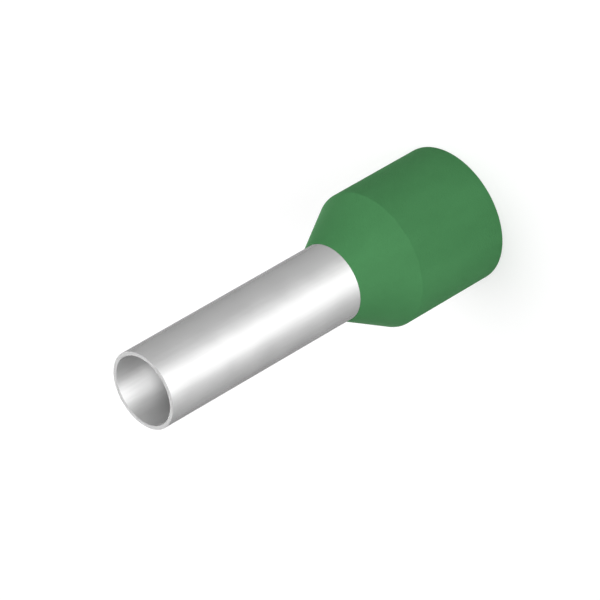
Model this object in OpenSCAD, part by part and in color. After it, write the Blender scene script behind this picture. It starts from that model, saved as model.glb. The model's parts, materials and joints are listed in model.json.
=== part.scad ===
// Insulated wire ferrule for a 6 mm2 stranded conductor: a tin-plated copper sleeve whose rear end
// is flared inside a moulded plastic collar. It stands on the collar's mouth, with the sleeve up.
// The origin is the centre of that mouth, +Z runs along the sleeve, and lengths are millimetres.

/* [Sleeve] */
// Inside diameter of the sleeve, which takes the bared strands
sleeve_bore_d = 3.5; // [3.2:0.1:4.2]
// Wall thickness of the sleeve
sleeve_wall = 0.2; // [0.15:0.05:0.3]
// Length of sleeve that stands out of the collar
pin_len = 12; // [8:1:18]
// Radius of the sleeve's deburred edges
sleeve_edge_r = 0.02; // [0.01:0.01:0.06]

/* [Flare] */
// Radius that the sleeve's outer skin is bent to where the flare starts
flare_bend_r = 0.6; // [0.4:0.1:1]
// Gap between the flare's rim and the collar's bore
flare_gap = 0.35; // [0.25:0.05:0.6]

/* [Collar] */
// Inside diameter of the collar, which takes the wire's insulation
collar_bore_d = 6.3; // [6:0.1:7]
// Wall thickness of the collar round the insulation
collar_wall = 0.3; // [0.25:0.05:0.5]
// Overall length of the collar
collar_len = 8; // [7:0.5:10]
// Length of the collar's outer cone
cone_len = 2.6; // [2.2:0.1:3]
// Width of the flat ring at the cone's nose, round the sleeve
nose_land = 0.03; // [0.02:0.01:0.1]
// Thickness of plastic between the outer cone and the funnel inside it
funnel_wall = 0.55; // [0.45:0.05:0.7]
// Moulding draft of the neck between the funnel and the nose, in degrees
neck_draft = 1.5; // [0.5:0.5:3]
// Radius of the edge between the collar's cylinder and its cone
shoulder_r = 0.1; // [0.05:0.05:0.2]
// Radius of both edges of the collar's mouth
mouth_edge_r = 0.03; // [0.02:0.01:0.11]

/* [Hidden] */
$fn = 128;

// How far a disc reaches past the lines that it is tangent to, so that it always crosses them
overlap = 0.00005;
// How far a cutting shape reaches past the end that it opens
margin = 1;

// Radii
sleeve_in_r = sleeve_bore_d / 2;
sleeve_out_r = sleeve_in_r + sleeve_wall;
collar_in_r = collar_bore_d / 2;
collar_out_r = collar_in_r + collar_wall;
nose_r = sleeve_out_r + nose_land;
rim_r = collar_in_r - flare_gap;

// Heights above the collar's mouth
tip_z = collar_len + pin_len;
shoulder_z = collar_len - cone_len;

// The outer cone, the funnel inside it and the flare lean from the axis by the same angle
lean = atan((collar_out_r - nose_r) / cone_len);
along_flare = [sin(lean), -cos(lean)];

function unit(v) = v / norm(v);

// Unit vector square to a wall that leans from the axis by an angle, pointing into the passage
function inward(angle) = [-cos(angle), -sin(angle)];

// Height of the funnel, on which the flare seats, where it has a given radius
function funnel_z(r) = shoulder_z + (collar_out_r - r - funnel_wall / cos(lean)) / tan(lean);

// Where the passage's walls meet: at the nose, in the throat between neck and funnel, in the chamber
nose = [sleeve_out_r, collar_len];
throat_drop = (collar_len - funnel_z(sleeve_out_r)) / (1 - tan(neck_draft) / tan(lean));
throat = nose + throat_drop * [tan(neck_draft), -1];
chamber = [collar_in_r, funnel_z(collar_in_r)];

// The square-cut rim of the flare
rim = [rim_r, funnel_z(rim_r)];
inner_rim = rim + sleeve_wall * inward(lean);

// What a round of radius r takes off the corner c, whose sides run to the points a and b
module round_off(a, c, b, r) {
    to_a = unit(a - c);
    to_b = unit(b - c);
    middle = unit(to_a + to_b);
    half = acos(to_a * to_b) / 2;
    side = r / tan(half);
    difference() {
        polygon([c + side * to_a, c - side * middle, c + side * to_b]);
        translate(c + r / sin(half) * middle) circle(r + overlap);
    }
}

// The passage from end to end of the ferrule, narrowed all round by depth.
// At depth 0 it is the sleeve's outer skin and the inside of the collar alike
module passage(depth) {
    function inset(corner, a, b) =
        corner + depth * (inward(a) + inward(b)) / (1 + inward(a) * inward(b));
    at_nose = inset(nose, 0, neck_draft);
    at_throat = inset(throat, neck_draft, lean);
    at_chamber = inset(chamber, lean, 0);
    polygon([
        [0, -margin],
        [at_chamber[0], -margin],
        at_chamber,
        at_throat,
        at_nose,
        [at_nose[0], tip_z + margin],
        [0, tip_z + margin]
    ]);
    round_off(at_nose, at_throat, at_chamber, flare_bend_r + depth);
}

// The sleeve is the skin of the passage between the square-cut rim of its flare and its tip
module sleeve_profile() {
    tip_out = [sleeve_out_r, tip_z];
    tip_in = [sleeve_in_r, tip_z];
    difference() {
        passage(0);
        passage(sleeve_wall);
        // What lies beyond the tip
        translate([0, tip_z]) square([collar_in_r, 2 * margin]);
        // What lies beyond the rim, cut square to the flare
        polygon([
            rim - tip_z * inward(lean),
            rim + tip_z * inward(lean),
            rim + tip_z * (along_flare + inward(lean)),
            rim + tip_z * (along_flare - inward(lean))
        ]);
        round_off([sleeve_out_r, 0], tip_out, tip_in, sleeve_edge_r);
        round_off([sleeve_in_r, 0], tip_in, tip_out, sleeve_edge_r);
        round_off(rim - along_flare, rim, inner_rim, sleeve_edge_r);
        round_off(inner_rim - along_flare, inner_rim, rim, sleeve_edge_r);
    }
}

// The collar is a thin mouth round the insulation and a cone that closes on the sleeve
module collar_profile() {
    mouth_in = [collar_in_r, 0];
    mouth_out = [collar_out_r, 0];
    shoulder = [collar_out_r, shoulder_z];
    nose_out = [nose_r, collar_len];
    difference() {
        polygon([[0, 0], mouth_out, shoulder, nose_out, [0, collar_len]]);
        passage(0);
        round_off([collar_in_r, shoulder_z], mouth_in, mouth_out, mouth_edge_r);
        round_off(mouth_in, mouth_out, shoulder, mouth_edge_r);
        round_off(mouth_out, shoulder, nose_out, shoulder_r);
    }
}

module metal_sleeve() {
    color([0.80, 0.80, 0.81])
        rotate_extrude()
            sleeve_profile();
}

module insulating_collar() {
    color([0.29, 0.52, 0.33])
        rotate_extrude()
            collar_profile();
}

metal_sleeve();
insulating_collar();
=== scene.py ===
"""Insulated wire ferrule: a tin-plated copper sleeve, flared inside a green moulded collar.

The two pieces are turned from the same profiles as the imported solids, with finer rounds, and are
dressed in procedural tin plating and moulded plastic. Lengths are metres unless a comment says otherwise.
"""

import json
import math

import bmesh
import bpy
from mathutils import Matrix, Vector


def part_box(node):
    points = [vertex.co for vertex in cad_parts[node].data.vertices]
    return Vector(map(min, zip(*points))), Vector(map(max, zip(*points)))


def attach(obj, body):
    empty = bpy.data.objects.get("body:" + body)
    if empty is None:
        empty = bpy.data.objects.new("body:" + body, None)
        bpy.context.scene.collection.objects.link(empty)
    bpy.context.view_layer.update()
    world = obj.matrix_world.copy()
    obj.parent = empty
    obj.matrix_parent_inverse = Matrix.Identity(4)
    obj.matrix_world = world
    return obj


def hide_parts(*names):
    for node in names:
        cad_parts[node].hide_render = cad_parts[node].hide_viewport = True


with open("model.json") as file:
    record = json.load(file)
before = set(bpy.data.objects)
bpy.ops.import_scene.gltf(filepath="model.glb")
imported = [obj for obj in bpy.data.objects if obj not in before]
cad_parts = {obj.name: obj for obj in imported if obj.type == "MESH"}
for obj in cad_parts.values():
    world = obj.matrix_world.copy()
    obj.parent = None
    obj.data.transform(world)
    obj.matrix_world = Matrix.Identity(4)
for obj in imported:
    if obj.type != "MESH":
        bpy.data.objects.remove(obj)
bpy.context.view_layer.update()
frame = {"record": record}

MM = 0.001

# Sizes that the frame gives
mounts = {mount["name"]: mount for mount in frame["record"]["mounts"]}
SLEEVE_IN_R = mounts["conductor_bore"]["dims"]["r_mm"] * MM
SLEEVE_OUT_R = mounts["sleeve_outside"]["dims"]["r_mm"] * MM
SLEEVE_WALL = SLEEVE_OUT_R - SLEEVE_IN_R
COLLAR_IN_R = mounts["insulation_bore"]["dims"]["r_mm"] * MM
COLLAR_OUT_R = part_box("insulating_collar")[1].x
COLLAR_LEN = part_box("insulating_collar")[1].z
TIP_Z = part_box("metal_sleeve")[1].z

# Sizes that the solids are built with and the frame doesn't name
CONE_LEN = 2.6 * MM
NOSE_LAND = 0.03 * MM
FUNNEL_WALL = 0.55 * MM
NECK_DRAFT = math.radians(1.5)
FLARE_GAP = 0.35 * MM
FLARE_BEND_R = 0.6 * MM
SLEEVE_EDGE_R = 0.02 * MM
SHOULDER_R = 0.1 * MM
MOUTH_EDGE_R = 0.03 * MM

# How finely the pieces are turned
SEGMENTS = 288
ARC_STEP = math.radians(6)
LONGEST_QUAD = 0.5 * MM
SHARP_ANGLE = math.radians(20)

# The camera, fitted to the photograph's outlines with the ferrule at its real size. TIP_AWAY, TIP_LEFT
# and TIP_BELOW say where the tip's centre lies from the camera. The lens and its sensor are in millimetres
VIEW_ELEVATION = math.radians(35.216)
VIEW_ROLL = math.radians(240)
VIEW_LENS = 302.76
VIEW_SENSOR = 36
TIP_AWAY = 227.29 * MM
TIP_LEFT = 7.0745 * MM
TIP_BELOW = 4.0901 * MM
NEAREST_SEEN = 0.01
FARTHEST_SEEN = 10

# What a noise texture's value mostly stays within
NOISE_LOW = 0.3
NOISE_HIGH = 0.7

# Finishes. PER_MM is how fine a texture is, and STRETCH what that is multiplied by along X, Y and Z.
# ROUGH is a roughness, and a ROUGH_SPREAD is how far a texture moves it either way. RELIEF is a height
TIN_DARK = (0.36, 0.36, 0.36, 1)
TIN_LIGHT = (0.39, 0.39, 0.39, 1)
# The tin's edge tint is black: painted shade that darkens its gloss toward the sleeve's outline
TIN_PAINTED_EDGE_SHADE = (0, 0, 0, 1)
TIN_ROUGH = 0.64
TIN_ANISOTROPY = 0.55
TIN_GLOSS_TURN = 0.25
TIN_LINES_PER_MM = 12
TIN_LINES_STRETCH = (1, 1, 0.02)
TIN_LINES_ROUGH_SPREAD = 0.02
TIN_GRAIN_PER_MM = 40
TIN_CLOUDS_PER_MM = 0.9
TIN_CLOUDS_ROUGH_SPREAD = 0.015
TIN_RELIEF = 0.6e-6

CUT_DARK = (0.225, 0.225, 0.225, 1)
CUT_LIGHT = (0.26, 0.26, 0.26, 1)
CUT_ROUGH = 0.7
CUT_GRAIN_PER_MM = 30
CUT_GRAIN_ROUGH_SPREAD = 0.04
CUT_RELIEF = 1.5e-6

GREEN_DARK = (0.051, 0.203, 0.069, 1)
GREEN_LIGHT = (0.060, 0.227, 0.080, 1)
GREEN_ROUGH = 0.88
GREEN_SHINE = 0.1
GREEN_GRAIN_PER_MM = 14
GREEN_GRAIN_ROUGH_SPREAD = 0.03
GREEN_FLOW_PER_MM = 0.6
GREEN_FLOW_STRETCH = (1, 1, 0.35)
GREEN_FLOW_ROUGH_SPREAD = 0.04
GREEN_RELIEF = 20e-6

# The stage. The floor is a hair under the ferrule, so that its sheet and the collar's mouth share no plane
WHITE = (1, 1, 1, 1)
FLOOR_HALF = 1.5
FLOOR_Z = -0.005 * MM
FLOOR_GREY = (0.5, 0.5, 0.5, 1)
FLOOR_LIFT = 0.56
FILL_LEVEL = 0.27

# The lamp panels. Azimuth and elevation are degrees, and say where a panel stands, seen from the ferrule
LAMP_DISTANCE = 1.0
FRONT_LAMP = {"azimuth": -20, "elevation": 20, "width": 0.6, "height": 0.5, "level": 0.63}
TOP_LAMP = {"azimuth": 102, "elevation": 62, "width": 1.4, "height": 1.4, "level": 0.56}
BACK_LAMP = {"azimuth": 170, "elevation": 15, "width": 1.0, "height": 0.5, "level": 0.3}
FRONT_SHEEN = {"azimuth": -15, "elevation": 38, "width": 0.7, "height": 0.4, "level": 2.75}
BACK_SHEEN = {"azimuth": 180, "elevation": 8, "width": 0.4, "height": 0.2, "level": 0.75}


# Profiles, as (radius, height)

LEAN = math.atan((COLLAR_OUT_R - SLEEVE_OUT_R - NOSE_LAND) / CONE_LEN)
SHOULDER_Z = COLLAR_LEN - CONE_LEN


def inward(angle):
    """Unit vector square to a wall that leans from the axis by an angle, pointing into the passage."""
    return Vector((-math.cos(angle), -math.sin(angle)))


def funnel_z(r):
    """Height of the funnel, on which the flare seats, where it has a given radius."""
    return SHOULDER_Z + (COLLAR_OUT_R - r - FUNNEL_WALL / math.cos(LEAN)) / math.tan(LEAN)


def passage_corners(depth):
    """The passage's corners at the nose, throat and chamber, where it is narrowed all round by depth."""
    nose = Vector((SLEEVE_OUT_R, COLLAR_LEN))
    drop = (COLLAR_LEN - funnel_z(SLEEVE_OUT_R)) / (1 - math.tan(NECK_DRAFT) / math.tan(LEAN))
    throat = nose + drop * Vector((math.tan(NECK_DRAFT), -1))
    chamber = Vector((COLLAR_IN_R, funnel_z(COLLAR_IN_R)))

    def inset(corner, a, b):
        return corner + depth * (inward(a) + inward(b)) / (1 + inward(a).dot(inward(b)))

    return inset(nose, 0, NECK_DRAFT), inset(throat, NECK_DRAFT, LEAN), inset(chamber, LEAN, 0)


def rounded(corners):
    """A closed outline from (corner, radius) pairs, with each corner that has a radius turned into an arc."""
    outline = []
    count = len(corners)
    for i, (corner, radius) in enumerate(corners):
        if radius == 0:
            outline.append(corner)
            continue
        to_last = (corners[i - 1][0] - corner).normalized()
        to_next = (corners[(i + 1) % count][0] - corner).normalized()
        half = to_last.angle(to_next) / 2
        start = corner + to_last * radius / math.tan(half)
        centre = corner + (to_last + to_next).normalized() * radius / math.sin(half)
        turn = math.pi - 2 * half
        steps = max(2, math.ceil(turn / ARC_STEP))
        spoke = start - centre
        way = 1 if to_last.x * to_next.y - to_last.y * to_next.x < 0 else -1
        for k in range(steps + 1):
            a = way * turn * k / steps
            c, s = math.cos(a), math.sin(a)
            outline.append(centre + Vector((spoke.x * c - spoke.y * s, spoke.x * s + spoke.y * c)))
    return outline


RIM_R = COLLAR_IN_R - FLARE_GAP
RIM = Vector((RIM_R, funnel_z(RIM_R)))


def sleeve_outline():
    """The sleeve's wall: from the tip down its outer skin to the flare's rim, and back up inside."""
    nose_out, throat_out, _ = passage_corners(0)
    nose_in, throat_in, _ = passage_corners(SLEEVE_WALL)
    return rounded([
        (Vector((SLEEVE_IN_R, TIP_Z)), SLEEVE_EDGE_R),
        (Vector((SLEEVE_OUT_R, TIP_Z)), SLEEVE_EDGE_R),
        (nose_out, 0),
        (throat_out, FLARE_BEND_R),
        (RIM, SLEEVE_EDGE_R),
        (RIM + SLEEVE_WALL * inward(LEAN), SLEEVE_EDGE_R),
        (throat_in, FLARE_BEND_R + SLEEVE_WALL),
        (nose_in, 0),
    ])


def collar_outline():
    """The collar's wall: from its nose down the outside to the mouth, and back up through the funnel."""
    nose_in, throat, chamber = passage_corners(0)
    nose_out = nose_in + Vector((NOSE_LAND, 0))
    return rounded([
        (nose_in, 0),
        (nose_out, 0),
        (Vector((COLLAR_OUT_R, SHOULDER_Z)), SHOULDER_R),
        (Vector((COLLAR_OUT_R, 0)), MOUTH_EDGE_R),
        (Vector((COLLAR_IN_R, 0)), MOUTH_EDGE_R),
        (chamber, 0),
        (throat, FLARE_BEND_R),
    ])


# Meshes


def divided(outline):
    """The outline with extra points on its long sides, so that no side is longer than LONGEST_QUAD."""
    points = []
    for i, a in enumerate(outline):
        b = outline[(i + 1) % len(outline)]
        steps = max(1, math.ceil((b - a).length / LONGEST_QUAD))
        points.extend(a.lerp(b, k / steps) for k in range(steps))
    return points


def ring_at(bm, point):
    """A ring of vertices about Z, at a profile point's radius and height."""
    ring = []
    for k in range(SEGMENTS):
        a = 2 * math.pi * k / SEGMENTS
        ring.append(bm.verts.new((point.x * math.cos(a), point.x * math.sin(a), point.y)))
    return ring


def turned(name, outline, materials, material_at):
    """A solid of revolution about Z, as one closed mesh of quads, smooth but for its true corners.
    material_at gives the number of the material that a face has, from its middle's radius and height."""
    bm = bmesh.new()
    rings = [ring_at(bm, point) for point in divided(outline)]
    for i, ring in enumerate(rings):
        following = rings[(i + 1) % len(rings)]
        for k in range(SEGMENTS):
            n = (k + 1) % SEGMENTS
            bm.faces.new((ring[k], following[k], following[n], ring[n]))
    bmesh.ops.recalc_face_normals(bm, faces=bm.faces)
    for face in bm.faces:
        face.smooth = True
        middle = face.calc_center_median()
        face.material_index = material_at(middle.xy.length, middle.z)
    for edge in bm.edges:
        edge.smooth = edge.calc_face_angle() < SHARP_ANGLE
    mesh = bpy.data.meshes.new(name)
    bm.to_mesh(mesh)
    bm.free()
    for material in materials:
        mesh.materials.append(material)
    piece = bpy.data.objects.new(name, mesh)
    bpy.context.scene.collection.objects.link(piece)
    weighted = piece.modifiers.new("even_normals", "WEIGHTED_NORMAL")
    weighted.keep_sharp = True
    return piece


# Materials


class Nodes:
    """The node tree of a material or world, with short calls for the nodes used here."""

    def __init__(self, owner):
        owner.use_nodes = True
        self.tree = owner.node_tree
        self.tree.nodes.clear()

    def add(self, kind, inputs=(), **settings):
        """A node whose inputs are linked where they are given a socket, and set where they aren't."""
        node = self.tree.nodes.new(kind)
        for key, value in settings.items():
            setattr(node, key, value)
        for key, value in dict(inputs).items():
            if isinstance(value, bpy.types.NodeSocket):
                self.tree.links.new(value, node.inputs[key])
            else:
                node.inputs[key].default_value = value
        return node

    def place(self, stretch):
        """Object coordinates in millimetres, multiplied by stretch along each axis."""
        coordinates = self.add("ShaderNodeTexCoord")
        inputs = {"Vector": coordinates.outputs["Object"], "Scale": [s / MM for s in stretch]}
        return self.add("ShaderNodeMapping", inputs).outputs["Vector"]

    def noise(self, per_mm, detail, rough=0.5, stretch=(1, 1, 1)):
        vector = self.place(stretch)
        inputs = {"Vector": vector, "Scale": per_mm, "Detail": detail, "Roughness": rough}
        return self.add("ShaderNodeTexNoise", inputs).outputs["Fac"]

    def spread(self, value, low, high):
        """A noise value, spread over a range."""
        inputs = {
            "Value": value,
            "From Min": NOISE_LOW,
            "From Max": NOISE_HIGH,
            "To Min": low,
            "To Max": high,
        }
        return self.add("ShaderNodeMapRange", inputs).outputs["Result"]

    def spread_about(self, value, middle, reach):
        """A noise value, spread over a range that reaches as far below its middle as above it."""
        return self.spread(value, middle - reach, middle + reach)

    def ramp(self, value, low, high):
        """A colour between two, for a value from 0 to 1."""
        node = self.add("ShaderNodeValToRGB", {"Fac": value})
        node.color_ramp.elements[0].color = low
        node.color_ramp.elements[1].color = high
        return node.outputs["Color"]

    def bump(self, height, relief):
        inputs = {"Height": height, "Strength": 1.0, "Distance": relief}
        return self.add("ShaderNodeBump", inputs).outputs["Normal"]

    def combine(self, operation, a, b):
        return self.add("ShaderNodeMath", {0: a, 1: b}, operation=operation).outputs["Value"]

    def white_where_seen(self):
        """1 for the rays that show the background: the camera's, and those in gloss and glass."""
        rays = self.add("ShaderNodeLightPath")
        seen = self.combine("MAXIMUM", rays.outputs["Is Camera Ray"], rays.outputs["Is Glossy Ray"])
        return self.combine("MAXIMUM", seen, rays.outputs["Is Transmission Ray"])

    def finish(self, inputs):
        """The principled surface that ends a material's tree."""
        shader = self.add("ShaderNodeBsdfPrincipled", inputs)
        self.add("ShaderNodeOutputMaterial", {"Surface": shader.outputs["BSDF"]})


def tinned_copper():
    """Satin tin plating: faint drawing lines along the tube, a fine grain, and clouds in tone and sheen."""
    material = bpy.data.materials.new("tinned_copper")
    nodes = Nodes(material)
    lines = nodes.noise(TIN_LINES_PER_MM, detail=3, stretch=TIN_LINES_STRETCH)
    grain = nodes.noise(TIN_GRAIN_PER_MM, detail=2)
    clouds = nodes.noise(TIN_CLOUDS_PER_MM, detail=3)
    # Clouds and lines have an equal part in the tone. In the relief the lines are twice as high as the grain
    shade = nodes.combine("ADD", nodes.spread(clouds, 0, 0.5), nodes.spread(lines, 0, 0.5))
    height = nodes.combine("ADD", nodes.spread(lines, 0, 1), nodes.spread(grain, 0, 0.5))
    clouds_rough = nodes.spread_about(clouds, TIN_ROUGH, TIN_CLOUDS_ROUGH_SPREAD)
    lines_rough = nodes.spread_about(lines, 0, TIN_LINES_ROUGH_SPREAD)
    nodes.finish({
        "Base Color": nodes.ramp(shade, TIN_DARK, TIN_LIGHT),
        "Metallic": 1.0,
        "Roughness": nodes.combine("ADD", clouds_rough, lines_rough),
        "Anisotropic": TIN_ANISOTROPY,
        "Anisotropic Rotation": TIN_GLOSS_TURN,
        # The black edge tint is painted shade along the sleeve's outline
        "Specular Tint": TIN_PAINTED_EDGE_SHADE,
        "Normal": nodes.bump(height, TIN_RELIEF),
    })
    return material


def cut_tin():
    """The sleeve's cut ends: dull, with a fine grain and no direction."""
    material = bpy.data.materials.new("cut_tin")
    nodes = Nodes(material)
    grain = nodes.noise(CUT_GRAIN_PER_MM, detail=3)
    nodes.finish({
        "Base Color": nodes.ramp(nodes.spread(grain, 0, 1), CUT_DARK, CUT_LIGHT),
        "Metallic": 1.0,
        "Roughness": nodes.spread_about(grain, CUT_ROUGH, CUT_GRAIN_ROUGH_SPREAD),
        "Normal": nodes.bump(grain, CUT_RELIEF),
    })
    return material


def green_plastic():
    """Moulded polypropylene: an even matt skin with a fine grain, and a slight cloudiness in its green."""
    material = bpy.data.materials.new("green_plastic")
    nodes = Nodes(material)
    grain = nodes.noise(GREEN_GRAIN_PER_MM, detail=4, rough=0.6)
    flow = nodes.noise(GREEN_FLOW_PER_MM, detail=4, stretch=GREEN_FLOW_STRETCH)
    flow_rough = nodes.spread_about(flow, GREEN_ROUGH, GREEN_FLOW_ROUGH_SPREAD)
    grain_rough = nodes.spread_about(grain, 0, GREEN_GRAIN_ROUGH_SPREAD)
    nodes.finish({
        "Base Color": nodes.ramp(nodes.spread(flow, 0, 1), GREEN_DARK, GREEN_LIGHT),
        "Roughness": nodes.combine("ADD", flow_rough, grain_rough),
        "Specular IOR Level": GREEN_SHINE,
        "Normal": nodes.bump(grain, GREEN_RELIEF),
    })
    return material


# The pieces


def sleeve_material_at(radius, height):
    """1 on the cut ends, at the tip and at the flare's rim, and 0 on the drawn walls."""
    along_flare = Vector((math.sin(LEAN), -math.cos(LEAN)))
    past_rim = (Vector((radius, height)) - RIM).dot(along_flare)
    return int(height > TIP_Z - SLEEVE_EDGE_R or past_rim > -SLEEVE_EDGE_R)


sleeve = turned("tin_sleeve", sleeve_outline(), [tinned_copper(), cut_tin()], sleeve_material_at)
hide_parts("metal_sleeve")
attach(sleeve, "root")

collar = turned("green_collar", collar_outline(), [green_plastic()], lambda radius, height: 0)
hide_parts("insulating_collar")
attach(collar, "root")


# The stage


def pale_floor():
    """Matt grey that keeps shadows, lifted to full white where the camera or a gloss sees it."""
    material = bpy.data.materials.new("pale_floor")
    nodes = Nodes(material)
    nodes.finish({
        "Base Color": FLOOR_GREY,
        "Roughness": 1.0,
        "Specular IOR Level": 0.0,
        "Emission Color": WHITE,
        "Emission Strength": nodes.combine("MULTIPLY", nodes.white_where_seen(), FLOOR_LIFT),
    })
    return material


def floor():
    """A flat square sheet under the ferrule."""
    half = FLOOR_HALF
    mesh = bpy.data.meshes.new("floor")
    corners = [(x, y, FLOOR_Z) for x, y in ((-half, -half), (half, -half), (half, half), (-half, half))]
    mesh.from_pydata(corners, [], [(0, 1, 2, 3)])
    mesh.materials.append(pale_floor())
    piece = bpy.data.objects.new("floor", mesh)
    bpy.context.scene.collection.objects.link(piece)


def white_room():
    """A world that is white where it is seen and gives a plain fill to everything else."""
    world = bpy.data.worlds.new("white_room")
    bpy.context.scene.world = world
    nodes = Nodes(world)
    levels = {"Value": nodes.white_where_seen(), "To Min": FILL_LEVEL, "To Max": 1.0}
    strength = nodes.add("ShaderNodeMapRange", levels).outputs["Result"]
    background = nodes.add("ShaderNodeBackground", {"Color": WHITE, "Strength": strength})
    nodes.add("ShaderNodeOutputWorld", {"Surface": background.outputs["Background"]})


def direction(azimuth, elevation):
    """Unit vector toward a point seen from the object: azimuth 0 is the camera's side, 90 is +X."""
    a, e = math.radians(azimuth), math.radians(elevation)
    return Vector((math.sin(a) * math.cos(e), -math.cos(a) * math.cos(e), math.sin(e)))


def panel_share(width, height):
    """How much of a full surround's light a panel gives to a surface that faces its middle."""
    a, b = width / (2 * LAMP_DISTANCE), height / (2 * LAMP_DISTANCE)
    far_a, far_b = math.hypot(1, a), math.hypot(1, b)
    return 2 / math.pi * (a / far_a * math.atan(b / far_a) + b / far_b * math.atan(a / far_b))


def softbox(name, azimuth, elevation, width, height, level):
    """A lamp panel aimed at the middle of the ferrule.
    At level 1 it makes a white surface that faces it render white."""
    lamp = bpy.data.lights.new(name, "AREA")
    lamp.shape = "RECTANGLE"
    lamp.size = width
    lamp.size_y = height
    lamp.energy = level * math.pi * width * height / panel_share(width, height)
    holder = bpy.data.objects.new(name, lamp)
    bpy.context.scene.collection.objects.link(holder)
    toward = direction(azimuth, elevation)
    holder.location = Vector((0, 0, TIP_Z / 2)) + toward * LAMP_DISTANCE
    holder.rotation_mode = "QUATERNION"
    holder.rotation_quaternion = toward.to_track_quat("Z", "Y")
    holder.visible_camera = False
    return holder


def sheen(name, **panel):
    """A softbox that only gloss shows. It gives the tin its highlights and doesn't light a matt surface."""
    softbox(name, **panel).visible_diffuse = False


def camera():
    """The camera, as fitted to the photograph. Its roll points the ferrule's tip down to the left."""
    right_0 = Vector((1, 0, 0))
    up_0 = Vector((0, math.sin(VIEW_ELEVATION), math.cos(VIEW_ELEVATION)))
    back = Vector((0, -math.cos(VIEW_ELEVATION), math.sin(VIEW_ELEVATION)))
    right = math.cos(VIEW_ROLL) * right_0 + math.sin(VIEW_ROLL) * up_0
    up = -math.sin(VIEW_ROLL) * right_0 + math.cos(VIEW_ROLL) * up_0
    place = Vector((0, 0, TIP_Z)) + TIP_LEFT * right + TIP_BELOW * up + TIP_AWAY * back
    data = bpy.data.cameras.new("camera")
    data.sensor_width = VIEW_SENSOR
    data.lens = VIEW_LENS
    data.clip_start = NEAREST_SEEN
    data.clip_end = FARTHEST_SEEN
    holder = bpy.data.objects.new("camera", data)
    turn = Matrix((right, up, back)).transposed().to_4x4()
    holder.matrix_world = Matrix.Translation(place) @ turn
    bpy.context.scene.collection.objects.link(holder)
    bpy.context.scene.camera = holder


floor()
white_room()
softbox("front", **FRONT_LAMP)
softbox("top", **TOP_LAMP)
softbox("back", **BACK_LAMP)
sheen("front_sheen", **FRONT_SHEEN)
sheen("back_sheen", **BACK_SHEEN)
camera()

bpy.context.scene.view_settings.view_transform = "Standard"
